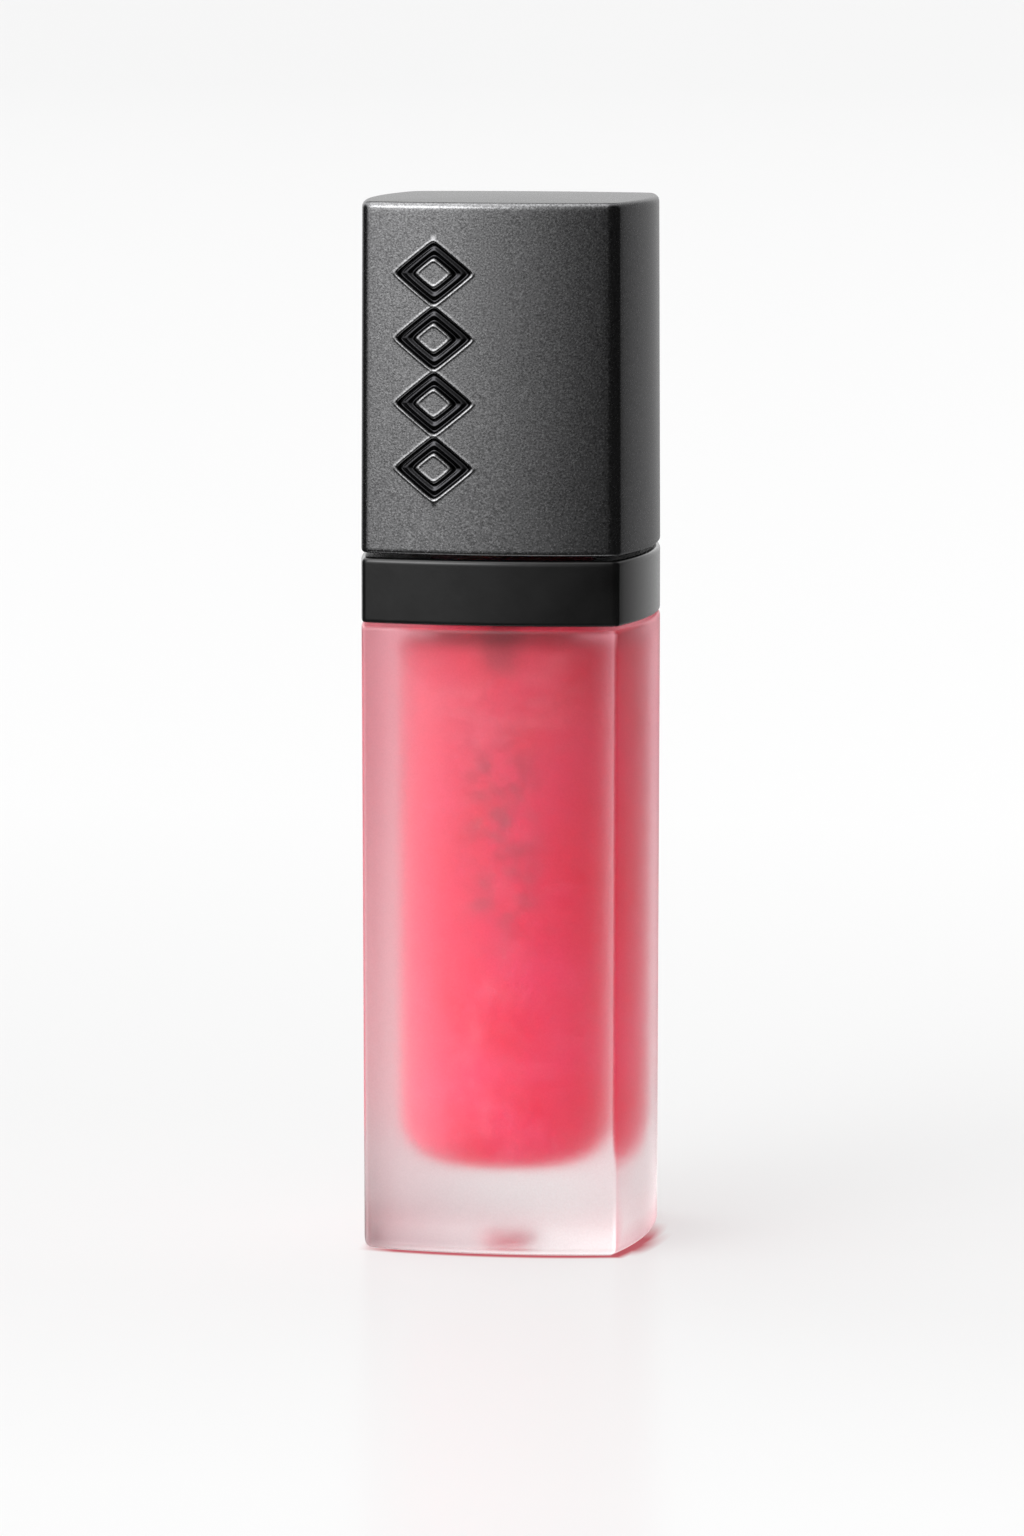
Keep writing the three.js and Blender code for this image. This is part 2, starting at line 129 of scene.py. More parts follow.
HALF = COLLAR_HIGH.x                     # half the width across the faces at the seam
SHOULDER_Z = COLLAR_LOW.z - FIT_GAP
NECK_TOP_Z = BOTTLE_HIGH.z
CEILING_Z = WASHER_HIGH.z + FIT_GAP


# ---- Outlines and rings ----

def arc(x, y, radius, angles):
    return np.column_stack([x + radius * np.cos(angles), y + radius * np.sin(angles)])


def bowed_square(corner_radius, front=None, face_steps=24, corner_steps=10):
    """The section as points round the Z axis, starting on the +X face.

    front gives the X places of the points on the front face.
    """
    edge = HALF - FACE_BOW
    face_radius = (edge ** 2 + FACE_BOW ** 2) / (2 * FACE_BOW)
    setback = face_radius - HALF
    reach = face_radius - corner_radius
    corner = (math.sqrt(2 * reach ** 2 - setback ** 2) - setback) / 2
    sweep = math.atan2(corner, corner + setback)
    even = np.linspace(-sweep, sweep, face_steps + 1)
    points = []
    for side in range(4):
        turn = side * math.pi / 2
        angles = turn + even
        if side == 3 and front is not None:
            angles = turn + np.concatenate([[-sweep], np.arcsin(front / face_radius), [sweep]])
        points.append(arc(-setback * math.cos(turn), -setback * math.sin(turn), face_radius, angles))
        diagonal = turn + math.pi / 4
        angles = np.linspace(turn + sweep, turn + math.pi / 2 - sweep, corner_steps + 1)[1:-1]
        x = corner * math.sqrt(2) * math.cos(diagonal)
        y = corner * math.sqrt(2) * math.sin(diagonal)
        points.append(arc(x, y, corner_radius, angles))
    return np.concatenate(points)


def half_at(z):
    """Half the outside's width at a height: full at the seam, narrower towards both ends."""
    if z < SHOULDER_Z:
        return HALF * (1 - DRAFT * (SHOULDER_Z - z) / SHOULDER_Z)
    return HALF * (1 - DRAFT * max(0.0, z - CAP_LOW.z) / (CAP_HIGH.z - CAP_LOW.z))


def square_ring(outline, z, half):
    """The section at a height, scaled to half its width there."""
    xy = outline * (half / HALF)
    return np.column_stack([xy, np.full(len(xy), z)])


def round_ring(outline, z, radius):
    """A circle with one point for each point of the outline, at the same angle."""
    angles = np.arctan2(outline[:, 1], outline[:, 0])
    return np.column_stack([radius * np.cos(angles), radius * np.sin(angles), np.full(len(angles), z)])


def between(first, last, shares):
    """Rings part of the way from the first ring to the last."""
    return [first * (1 - share) + last * share for share in shares]


def quarter(steps):
    """Sine and cosine pairs over a quarter turn."""
    return [(math.sin(a), math.cos(a)) for a in np.linspace(0, math.pi / 2, steps + 1)]


def pole(z):
    return np.array([[0.0, 0.0, z]])


def round_profile(outline, profile):
    """Round rings from radius and height pairs."""
    return [round_ring(outline, z, radius) for radius, z in profile]


def eased(profile, radius, steps=4):
    """The profile with each inner corner rounded by about the radius."""
    points = [np.array(p, float) for p in profile]
    made = [points[0]]
    for before, here, after in zip(points, points[1:], points[2:]):
        back = before - here
        on = after - here
        reach = min(radius, 0.45 * np.linalg.norm(back), 0.45 * np.linalg.norm(on))
        start = here + back / np.linalg.norm(back) * reach
        end = here + on / np.linalg.norm(on) * reach
        for t in np.linspace(0, 1, steps + 1):
            made.append((1 - t) ** 2 * start + 2 * t * (1 - t) * here + t ** 2 * end)
    made.append(points[-1])
    return [tuple(p) for p in made]


# ---- Meshes ----

def loft(name, rings, closed=False):
    """A closed mesh through the rings, where a ring of one point is a pole.

    closed joins the last ring to the first.
    """
    starts = np.cumsum([0] + [len(ring) for ring in rings])
    pairs = list(range(len(rings) - 1)) + ([-1] if closed else [])
    faces = []
    for i in pairs:
        a, b = rings[i], rings[i + 1]
        first = starts[i] if i >= 0 else starts[len(rings) - 1]
        second = starts[i + 1]
        n = max(len(a), len(b))
        k = np.arange(n)
        k_next = (k + 1) % n
        if len(a) == 1:
            faces.extend(np.column_stack([np.full(n, first), second + k_next, second + k]).tolist())
        elif len(b) == 1:
            faces.extend(np.column_stack([first + k, first + k_next, np.full(n, second)]).tolist())
        else:
            quads = [first + k, first + k_next, second + k_next, second + k]
            faces.extend(np.column_stack(quads).tolist())
    vertices = np.concatenate(rings) * MM
    mesh = bpy.data.meshes.new(name)
    mesh.from_pydata(vertices.tolist(), [], faces)
    mesh.validate()
    if signed_volume(mesh) < 0:
        mesh.flip_normals()
    mesh.shade_smooth()
    obj = bpy.data.objects.new(name, mesh)
    bpy.context.scene.collection.objects.link(obj)
    return obj


def signed_volume(mesh):
    mesh.calc_loop_triangles()
    count = len(mesh.loop_triangles)
    corners = np.empty(count * 3, np.int32)
    mesh.loop_triangles.foreach_get("vertices", corners)
    places = np.empty(len(mesh.vertices) * 3, np.float32)
    mesh.vertices.foreach_get("co", places)
    a, b, c = places.reshape(-1, 3).astype(float)[corners.reshape(-1, 3)].transpose(1, 0, 2)
    return float((a * np.cross(b, c)).sum())


def thread_height(angles, z, start_z):
    """How far a thread stands out at each angle, from 0 at its root to 1 at its crest."""
    height = np.zeros(len(angles))
    unwrapped = np.mod(angles, 2 * math.pi)
    for turn in range(math.ceil(THREAD_TURNS)):
        progress = (unwrapped + 2 * math.pi * turn) / (2 * math.pi * THREAD_TURNS)
        middle = start_z + progress * THREAD_TURNS * THREAD_LEAD
        end = np.clip(np.minimum(progress, 1 - progress) / THREAD_RUNOUT, 0, 1)
        slope = np.clip((THREAD_FOOT - np.abs(z - middle)) / (THREAD_FOOT - THREAD_CREST), 0, 1)
        height = np.maximum(height, end * slope * slope * (3 - 2 * slope))
    return height


def threaded_rings(outline, radius, depth, low, high, start_z, step=0.12):
    """Rings up a round wall whose thread stands out by depth, or in where depth is negative."""
    angles = np.arctan2(outline[:, 1], outline[:, 0])
    rings = []
    for z in np.arange(low, high, step):
        r = radius + depth * thread_height(angles, z, start_z)
        rings.append(np.column_stack([r * np.cos(angles), r * np.sin(angles), np.full(len(r), z)]))
    return rings


# ---- Bottle, collar, wiper ----

def make_bottle():
    outline = bowed_square(BOTTLE_CORNER)
    gate = round_profile(outline, eased([
        (0.3, GATE_DEPTH), (GATE_RADIUS - 0.3, GATE_DEPTH), (GATE_RADIUS, 0), (GATE_RADIUS + 0.9, 0),
    ], 0.4, 8))
    base_half = half_at(0)
    flat = square_ring(outline, 0, base_half - BOTTLE_BASE_EDGE)
    base = between(gate[-1], flat, [0.35, 0.7, 0.93, 0.985])
    edge = [square_ring(outline, BOTTLE_BASE_EDGE * (1 - c), base_half - BOTTLE_BASE_EDGE * (1 - s))
            for s, c in quarter(7)]
    sides = [square_ring(outline, z, half_at(z))
             for z in np.linspace(BOTTLE_BASE_EDGE + 0.1, SHOULDER_Z - 0.35, 24)]
    top = [square_ring(outline, SHOULDER_Z - 0.25 * (1 - s), HALF - 0.25 * (1 - c))
           for s, c in quarter(4)]
    neck_foot = round_ring(outline, SHOULDER_Z, NECK_RADIUS + 0.3)
    shoulder = between(top[-1], neck_foot, [0.02, 0.1, 0.5, 0.9])
    thread_low = COLLAR_HIGH.z + 1.2
    thread_high = NECK_TOP_Z - 0.9
    neck = round_profile(outline, eased([
        (NECK_RADIUS + 0.3, SHOULDER_Z), (NECK_RADIUS, SHOULDER_Z + 0.3), (NECK_RADIUS, BEAD_Z - 0.5),
        (BEAD_RADIUS, BEAD_Z), (BEAD_RADIUS, BEAD_Z + 0.3), (NECK_RADIUS, BEAD_Z + 1.3),
        (NECK_RADIUS, thread_low - 0.1),
    ], 0.2))
    thread = threaded_rings(outline, NECK_RADIUS, THREAD_DEPTH, thread_low, thread_high,
                            COLLAR_HIGH.z + 2.6)
    mouth = round_profile(outline, eased([
        (NECK_RADIUS, thread_high + 0.1), (NECK_RADIUS, NECK_TOP_Z - 0.35),
        (NECK_RADIUS - 0.35, NECK_TOP_Z), (BORE_RADIUS + 0.3, NECK_TOP_Z),
        (BORE_RADIUS, NECK_TOP_Z - 0.3), (BORE_RADIUS, CAVITY_ROOF + 0.6),
        (BORE_RADIUS + 0.6, CAVITY_ROOF), (CAVITY_RADIUS - ROOF_CORNER, CAVITY_ROOF),
        (CAVITY_RADIUS, CAVITY_ROOF - ROOF_CORNER),
        (CAVITY_RADIUS, CAVITY_FLOOR + CAVITY_CORNER),
    ], 0.5))
    floor = [round_ring(outline, CAVITY_FLOOR + CAVITY_CORNER * (1 - s),
                        CAVITY_RADIUS - CAVITY_CORNER * (1 - c)) for s, c in quarter(9)]
    inner = round_profile(outline, [(2.5, CAVITY_FLOOR), (0.8, CAVITY_FLOOR)])
    rings = [pole(GATE_DEPTH), *gate, *base, *edge, *sides, *top, *shoulder, *neck, *thread,
             *mouth, *floor, *inner, pole(CAVITY_FLOOR)]
    return loft("bottle_shell", rings)


def make_collar():
    outline = bowed_square(COLLAR_CORNER)
    low, high = COLLAR_LOW.z, COLLAR_HIGH.z
    inner_half = HALF - COLLAR_WALL
    hub = BEAD_RADIUS + 1.4
    hole_low = NECK_RADIUS + FIT_GAP
    hole_high = BEAD_RADIUS + FIT_GAP
    outer = [square_ring(outline, low + 0.18 * (1 - c), HALF - 0.18 * (1 - s)) for s, c in quarter(4)]
    outer += [square_ring(outline, z, HALF) for z in np.linspace(low + 0.3, high - 0.45, 6)]
    outer += [square_ring(outline, high - 0.35 * (1 - s), HALF - 0.35 * (1 - c)) for s, c in quarter(6)]
    hole_rim = round_ring(outline, high, hole_high + 0.25)
    top = between(outer[-1], hole_rim, [0.03, 0.2, 0.6, 0.95])
    hole = round_profile(outline, eased([
        (hole_high + 0.25, high), (hole_high, high - 0.25), (hole_high, BEAD_Z - 0.3),
        (hole_low, BEAD_Z - 0.8), (hole_low, low + 0.2), (hub, low + 0.2), (hub, high - COLLAR_WALL),
    ], 0.12))
    ceiling = square_ring(outline, high - COLLAR_WALL, inner_half - 0.1)
    hollow = between(hole[-1], ceiling, [0.1, 0.9, 1.0])
    skirt = [square_ring(outline, low + 0.1, inner_half), square_ring(outline, low, inner_half + 0.1)]
    return loft("collar_ring", [*outer, *top, *hole, *hollow, *skirt], closed=True)


def make_wiper():
    outline = bowed_square(BOTTLE_CORNER, face_steps=14, corner_steps=6)
    sleeve = BORE_RADIUS - FIT_GAP
    flange = NECK_RADIUS - 0.3
    sleeve_foot = NECK_TOP_Z - 7.5
    top = WIPER_HIGH.z
    profile = eased([
        (sleeve, sleeve_foot), (sleeve, NECK_TOP_Z + FIT_GAP), (flange, NECK_TOP_Z + FIT_GAP),
        (flange, top), (sleeve - 0.2, top), (sleeve - 0.8, top - 0.6),
        (sleeve - 0.8, sleeve_foot + 0.3), (PASSAGE_RADIUS, sleeve_foot - 2.7),
        (PASSAGE_RADIUS, WIPER_LOW.z), (PASSAGE_RADIUS + 0.45, WIPER_LOW.z + 0.2), (sleeve, sleeve_foot),
    ], 0.15)
    return loft("wiper_plug", round_profile(outline, profile), closed=True)


# ---- Gloss ----

def make_gloss():
    """The gloss wets the cavity's wall and the bore, so it reaches a hair into them."""
    outline = bowed_square(BOTTLE_CORNER)
    radius = CAVITY_RADIUS + WET
    bore = BORE_RADIUS + WET
    floor_z = CAVITY_FLOOR - WET
    roof_z = CAVITY_ROOF + WET
    top = GLOSS_HIGH.z
    channel = CHANNEL_RADIUS
    rings = [pole(floor_z), *round_profile(outline, [(0.8, floor_z), (2.5, floor_z)])]
    rings += [round_ring(outline, floor_z + CAVITY_CORNER * (1 - c), radius - CAVITY_CORNER * (1 - s))
              for s, c in quarter(10)]
    rings += round_profile(outline, [(radius, z) for z in np.linspace(10, roof_z - 3.2, 24)])
    rings += round_profile(outline, eased([
        (radius, roof_z - 3.0), (radius, roof_z - ROOF_CORNER),
        (radius - ROOF_CORNER, roof_z), (bore + 0.6, roof_z), (bore, roof_z + 0.6), (bore, top),
        (channel + 0.3, top - 0.3), (channel, top - 0.8), (channel, TIP_END_Z),
        (channel - 1.0, TIP_END_Z - 1.2), (0.5, TIP_END_Z - 1.4),
    ], 0.5))
    rings.append(pole(TIP_END_Z - 1.4))
    return loft("gloss_body", rings)


# ---- Cap ----

def smooth(share):
    """Eases a share of 0 to 1 at both its ends, and keeps it there outside them."""
    share = np.clip(share, 0, 1)
    return share * share * (3 - 2 * share)


def lozenge_press(x, z):
    """Depth in millimetres of the pressed lozenges, and 1 inside their bands and 0 outside.

    A band's floor rises a little along its middle, and the lacquer stands up in a fine bead around it.
    """
    middle = (CAP_LOW.z + CAP_HIGH.z) / 2 + LOZENGE_RISE
    slant = LOZENGE_WIDTH * LOZENGE_HEIGHT / 2 / math.hypot(LOZENGE_WIDTH, LOZENGE_HEIGHT)
    from_edge = np.full(x.shape, -9.0)
    for i in range(LOZENGE_COUNT):
        centre = middle + (i - (LOZENGE_COUNT - 1) / 2) * LOZENGE_PITCH
        across = np.hypot((x - LOZENGE_X) / (LOZENGE_WIDTH / 2), LOZENGE_TIP)
        up = np.hypot((z - centre) / (LOZENGE_HEIGHT / 2), LOZENGE_TIP)
        from_outline = (1 + LOZENGE_TIP - across - up) * slant
        from_edge = np.maximum(from_edge, np.minimum(from_outline, LOZENGE_BAND - from_outline))
    floor = smooth(from_edge / LOZENGE_RAMP)
    crown = smooth((from_edge - LOZENGE_RAMP) / (LOZENGE_BAND / 2 - LOZENGE_RAMP))
    bead = smooth(1 - np.abs(from_edge + LOZENGE_BEAD) / LOZENGE_BEAD)
    depth = LOZENGE_DEPTH * floor - LOZENGE_CROWN * crown - LOZENGE_BEAD_HEIGHT * bead
    return depth, smooth(from_edge / LOZENGE_RAMP * 2)


def cap_outline():
    """The cap's section, with fine steps across the pressed lozenges."""
    margin = 0.4
    reach = HALF - FACE_BOW - 1.2
    low = LOZENGE_X - LOZENGE_WIDTH / 2 - margin
    high = LOZENGE_X + LOZENGE_WIDTH / 2 + margin
    front = np.concatenate([
        np.linspace(-reach, low, 4)[:-1],
        np.linspace(low, high, round((high - low) / FINE_STEP)),
        np.linspace(high, reach, 18)[1:],
    ])
    return bowed_square(CAP_CORNER, front=front)


def press_lozenges(ring):
    """Sinks the front face of a ring by the lozenges' depth, and gives the mask of their bands."""
    on_front = (ring[:, 1] < 0) & (np.abs(ring[:, 0]) < HALF - FACE_BOW)
    depth, mask = lozenge_press(ring[:, 0], ring[:, 2])
    sunk = ring.copy()
    sunk[:, 1] += np.where(on_front, depth, 0.0)
    return sunk, np.where(on_front, mask, 0.0)


def make_cap():
    outline = cap_outline()
    low, high = CAP_LOW.z, CAP_HIGH.z
    edge_z = high - DOME_RISE
    flat_half = half_at(high) - CAP_TOP_EDGE
    dome = [square_ring(outline, high - DOME_RISE * share ** 2, flat_half * share)
            for share in (0.05, 0.2, 0.4, 0.6, 0.75, 0.87, 0.95, 0.99)]
    top_edge = [square_ring(outline, edge_z - CAP_TOP_EDGE * (1 - c), flat_half + CAP_TOP_EDGE * s)
                for s, c in quarter(10)]
    column = (LOZENGE_COUNT - 1) * LOZENGE_PITCH + LOZENGE_HEIGHT + 0.4
    middle = (low + high) / 2 + LOZENGE_RISE
    heights = np.concatenate([
        np.linspace(edge_z - CAP_TOP_EDGE - 0.15, middle + column / 2, 6)[:-1],
        np.linspace(middle + column / 2, middle - column / 2, round(column / FINE_STEP)),
        np.linspace(middle - column / 2, low + 0.4, 10)[1:],
    ])
    sides = [press_lozenges(square_ring(outline, z, half_at(z))) for z in heights]
    rim = [square_ring(outline, low + 0.22 * (1 - s), HALF - 0.22 * (1 - c)) for s, c in quarter(5)]
    inner = HALF - CAP_WALL
    roof_z = high - CAP_ROOF
    roof_half = half_at(roof_z) - CAP_WALL
    hollow = [square_ring(outline, low, inner + 0.15), square_ring(outline, low + 0.15, inner)]
    hollow += [square_ring(outline, z, inner + (roof_half - inner) * (z - low) / (roof_z - low))
               for z in (low + 0.6, low + 8, roof_z - 0.5)]
    hollow += [square_ring(outline, roof_z, roof_half * share) for share in (0.97, 0.5, 0.05)]
    rings = [pole(high), *dome, *top_edge, *[ring for ring, _ in sides], *rim, *hollow, pole(roof_z)]
    cap = loft("cap_shell", rings)
    pressed = np.zeros(len(cap.data.vertices), np.float32)
    start = 1 + len(outline) * (len(dome) + len(top_edge))
    masks = np.concatenate([mask for _, mask in sides])
    pressed[start:start + len(masks)] = masks
    cap.data.attributes.new("pressed", "FLOAT", "POINT").data.foreach_set("value", pressed)
    return cap


def make_inner_cap():
    """Threaded barrel, plate across the cap's mouth, and ribs that grip the shell's corners."""
    outline = bowed_square(CAP_CORNER)
    bottom, top = INNER_LOW.z, INNER_HIGH.z
    crest = BEAD_RADIUS + 0.2
    bore = crest + THREAD_DEPTH
    barrel = bore + 1.2
    barrel_top = CEILING_Z + 1.6
    plate_half = HALF - CAP_WALL - FIT_GAP
    angles = np.arctan2(outline[:, 1], outline[:, 0])
    off_diagonal = np.abs(np.mod(angles, math.pi / 2) - math.pi / 4)
    rib = np.clip((0.095 - off_diagonal) / 0.025, 0, 1)

    def ribbed(radius, z, reach=0.0):
        r = radius + rib * max(reach, barrel + 1.2 - radius)
        return np.column_stack([r * np.cos(angles), r * np.sin(angles), np.full(len(r), z)])

    plate = [square_ring(outline, bottom + 0.12 * (1 - c), plate_half - 0.12 * (1 - s))
             for s, c in quarter(3)]
    plate.append(square_ring(outline, bottom + 1.1, plate_half))
    plate.append(square_ring(outline, bottom + 1.2, plate_half - 0.1))
    outside = [ribbed(barrel, bottom + 1.2), ribbed(barrel, bottom + 1.4), ribbed(barrel, barrel_top),
               ribbed(4.2, barrel_top + 1), ribbed(4.2, top - 0.1), ribbed(4.1, top)]
    well = round_profile(outline, eased([
        (3.4, top), (3.0, top - 0.3), (3.0, CEILING_Z + 8), (0.5, CEILING_Z + 8),
    ], 0.2))
    socket = round_profile(outline, eased([
        (0.5, CEILING_Z + 6.5), (STEM_RADIUS + 0.9, CEILING_Z + 6.5), (STEM_RADIUS + 0.9, CEILING_Z),
        (bore, CEILING_Z), (bore, CEILING_Z - 1.2),
    ], 0.2))
    thread_high = CEILING_Z - 1.3
    thread = threaded_rings(outline, bore, -THREAD_DEPTH, bottom + 0.7, thread_high, bottom + 2.2)[::-1]
    mouth = round_profile(outline, eased([
        (bore, bottom + 0.6), (bore + 0.35, bottom + 0.15), (bore + 0.5, bottom), (bore + 0.8, bottom),
    ], 0.1))
    # the plate's underside closes the ring from the barrel's mouth to the plate's edge
    under = between(mouth[-1], plate[0], [0.5, 0.95])
    well.append(pole(CEILING_Z + 8))
    upper = [*plate, *outside, *well]
    lower = [pole(CEILING_Z + 6.5), *socket, *thread, *mouth, *under]
    return loft("inner_cap_insert", [*lower, *upper])


def make_washer():
    outline = bowed_square(BOTTLE_CORNER, face_steps=14, corner_steps=6)
    low, high = WASHER_LOW.z, WASHER_HIGH.z
    inner, outer = STEM_RADIUS + 0.6, WASHER_HIGH.x
    profile = eased([
        (inner, (low + high) / 2), (inner, low), (outer, low), (outer, high), (inner, high),
        (inner, (low + high) / 2 + 0.01),
    ], 0.1)
    return loft("seal_washer_ring", round_profile(outline, profile), closed=True)


# ---- Applicator ----

def make_stem():
    outline = bowed_square(BOTTLE_CORNER, face_steps=10, corner_steps=4)
    plug = STEM_RADIUS + 0.65
    profile = eased([
        (0.3, STEM_END_Z + 4), (1.35, STEM_END_Z + 4), (1.35, STEM_END_Z),
        (STEM_RADIUS, STEM_END_Z), (STEM_RADIUS, CEILING_Z - 0.3), (plug, CEILING_Z + 0.4),
        (plug, STEM_HIGH.z - 0.6), (STEM_RADIUS, STEM_HIGH.z), (0.3, STEM_HIGH.z),
    ], 0.15)
    rings = [pole(STEM_END_Z + 4), *round_profile(outline, profile), pole(STEM_HIGH.z)]
    return loft("stem_rod", rings)


def doe_foot_rings(outline, radius, end_z, top_z, margin):
    """A round-ended rod with one slanted face, grown by a margin. The slant is cut softly."""
    angles = np.arctan2(outline[:, 1], outline[:, 0])
    rings = []
    steps = [(radius * s, end_z + radius * 1.4 * (1 - c)) for s, c in quarter(12)][1:]
    steps += [(radius, z) for z in np.linspace(end_z + radius * 1.4, top_z, 16)[1:]]
    for r, z in steps:
        x = r * np.cos(angles)
        y = r * np.sin(angles)
        cut = -margin / math.cos(TIP_SLANT) - (z - TIP_END_Z - 2) * math.tan(TIP_SLANT)
        cut = min(cut, 0.8 * r)
        soft = 0.3
        y = 0.5 * (y + cut + np.sqrt((y - cut) ** 2 + soft ** 2)) - 0.5 * (math.sqrt(
            (r - cut) ** 2 + soft ** 2) - (r - cut))
        rings.append(np.column_stack([x, y, np.full(len(x), z)]))
    return rings


def make_tip_core():
    outline = bowed_square(BOTTLE_CORNER, face_steps=12, corner_steps=5)
    shoulder = STEM_END_Z - 0.3
    body = doe_foot_rings(outline, 2.1, TIP_END_Z + 0.5, shoulder, 0.0)
    tail = round_profile(outline, [(1.3, shoulder), (1.1, shoulder + 0.05), (1.1, STEM_END_Z + 3.2),
                                   (0.9, STEM_END_Z + 3.4), (0.3, STEM_END_Z + 3.4)])
    start = pole(TIP_END_Z + 0.5)
    start[0, 1] = body[0][:, 1].mean()
    return loft("tip_core", [start, *body, *tail, pole(STEM_END_Z + 3.4)])


def make_flocking():
    outline = bowed_square(BOTTLE_CORNER, face_steps=20, corner_steps=8)
    top = FLOCK_HIGH.z
    outer = doe_foot_rings(outline, 2.6, TIP_END_Z, top, 0.5)
    inner = doe_foot_rings(outline, 2.22, TIP_END_Z + 0.38, top, 0.12)
    start = pole(TIP_END_Z)
    start[0, 1] = outer[0][:, 1].mean()
    end = pole(TIP_END_Z + 0.38)
    end[0, 1] = inner[0][:, 1].mean()
    return loft("flock_sleeve", [start, *outer, *inner[::-1], end])


# ---- Materials ----

class Nodes:
    """Short calls for building a node tree."""

    def __init__(self, name):
        self.material = bpy.data.materials.new(name)
        self.material.use_nodes = True
        self.tree = self.material.node_tree
        self.shader = next(n for n in self.tree.nodes if n.type == "BSDF_PRINCIPLED")

    def add(self, kind, **settings):
        node = self.tree.nodes.new(kind)
        for key, value in settings.items():
            setattr(node, key, value)
        return node

    def link(self, start, end):
        self.tree.links.new(start, end)

    def places(self):
        """Object coordinates in millimetres."""
        coordinates = self.add("ShaderNodeTexCoord")
        scale = self.add("ShaderNodeVectorMath", operation="SCALE")
        scale.inputs["Scale"].default_value = 1 / MM
        self.link(coordinates.outputs["Object"], scale.inputs[0])
        return scale.outputs["Vector"]

    def axes(self):
        """Object X, Y and Z in millimetres."""
        place = self.add("ShaderNodeSeparateXYZ")
        self.link(self.places(), place.inputs["Vector"])
        return place.outputs["X"], place.outputs["Y"], place.outputs["Z"]

    def distance(self, x, y):
        """Length of the vector that x and y make."""
        flat = self.add("ShaderNodeCombineXYZ")
        self.link(x, flat.inputs["X"])
        self.link(y, flat.inputs["Y"])
        length = self.add("ShaderNodeVectorMath", operation="LENGTH")
        self.link(flat.outputs["Vector"], length.inputs[0])
        return length.outputs["Value"]

    def noise(self, scale, detail=2.0, roughness=0.5, vector=None):
        node = self.add("ShaderNodeTexNoise")
        node.inputs["Scale"].default_value = scale
        node.inputs["Detail"].default_value = detail
        node.inputs["Roughness"].default_value = roughness
        self.link(vector or self.places(), node.inputs["Vector"])
        return node.outputs["Fac"]

    def remap(self, value, low, high, to_low, to_high):
        node = self.add("ShaderNodeMapRange")
        numbers = (low, high, to_low, to_high)
        for key, number in zip(("From Min", "From Max", "To Min", "To Max"), numbers):
            node.inputs[key].default_value = number
        self.link(value, node.inputs["Value"])
        return node.outputs["Result"]

    def mix(self, share, first, second):
        """Mixes two colours, each a tuple or a socket."""
        node = self.add("ShaderNodeMix", data_type="RGBA")
        if isinstance(share, float):
            node.inputs[0].default_value = share
        else:
            self.link(share, node.inputs[0])
        for socket, colour in ((node.inputs[6], first), (node.inputs[7], second)):
            if isinstance(colour, tuple):
                socket.default_value = (*colour, 1)
            else:
                self.link(colour, socket)
        return node.outputs[2]

    def math(self, operation, first, second):
        node = self.add("ShaderNodeMath", operation=operation)
        self.link(first, node.inputs[0])
        if isinstance(second, float):
            node.inputs[1].default_value = second
        else:
            self.link(second, node.inputs[1])
        return node.outputs["Value"]

    def band(self, value, rise_start, rise_end, fall_start, fall_end):
        """One between the rise and the fall, and zero outside them."""
        return self.math("MULTIPLY", self.remap(value, rise_start, rise_end, 0.0, 1.0),
                         self.remap(value, fall_start, fall_end, 1.0, 0.0))

    def bump(self, height, strength, distance):
        """A bump of the given depth in millimetres."""
        node = self.add("ShaderNodeBump")
        node.inputs["Strength"].default_value = strength
        node.inputs["Distance"].default_value = distance * MM
        self.link(height, node.inputs["Height"])
        self.link(node.outputs["Normal"], self.shader.inputs["Normal"])

    def set(self, **values):
        for key, value in values.items():
            self.shader.inputs[key.replace("_", " ").title().replace("Ior", "IOR")].default_value = value


def charcoal_lacquer():
    n = Nodes("charcoal_lacquer")
    grain = n.noise(7.5, 2.0, 0.6)
    cloud = n.noise(0.25, 2.0)
    pressed = n.add("ShaderNodeAttribute", attribute_name="pressed").outputs["Fac"]
    body = n.mix(n.remap(grain, 0.3, 0.7, 0.0, 1.0), (0.1, 0.1, 0.102), (0.3, 0.3, 0.305))
    shaded = n.mix(n.remap(cloud, 0.3, 0.7, 0.0, 0.12), body, (0.26, 0.26, 0.265))
    colour = n.mix(pressed, shaded, (0.03, 0.03, 0.032))
    n.link(colour, n.shader.inputs["Base Color"])
    rough = n.remap(grain, 0.3, 0.7, 0.18, 0.28)
    drop = n.add("ShaderNodeMix", data_type="FLOAT")
    n.link(pressed, drop.inputs[0])
    n.link(rough, drop.inputs[2])
    drop.inputs[3].default_value = 0.12
    n.link(drop.outputs[0], n.shader.inputs["Roughness"])
    n.set(metallic=1.0, specular_tint=(0.5, 0.5, 0.5, 1))
    n.bump(grain, 0.2, 0.03)
    return n.material


def black_satin():
    n = Nodes("black_satin")
    fine = n.noise(6.0, 3.0)
    broad = n.noise(0.4, 2.0)
    n.link(n.mix(n.remap(broad, 0.3, 0.7, 0.0, 1.0), (0.003, 0.003, 0.003), (0.006, 0.006, 0.006)),
           n.shader.inputs["Base Color"])
    n.link(n.remap(fine, 0.3, 0.7, 0.16, 0.24), n.shader.inputs["Roughness"])
    n.bump(fine, 0.06, 0.02)
    return n.material


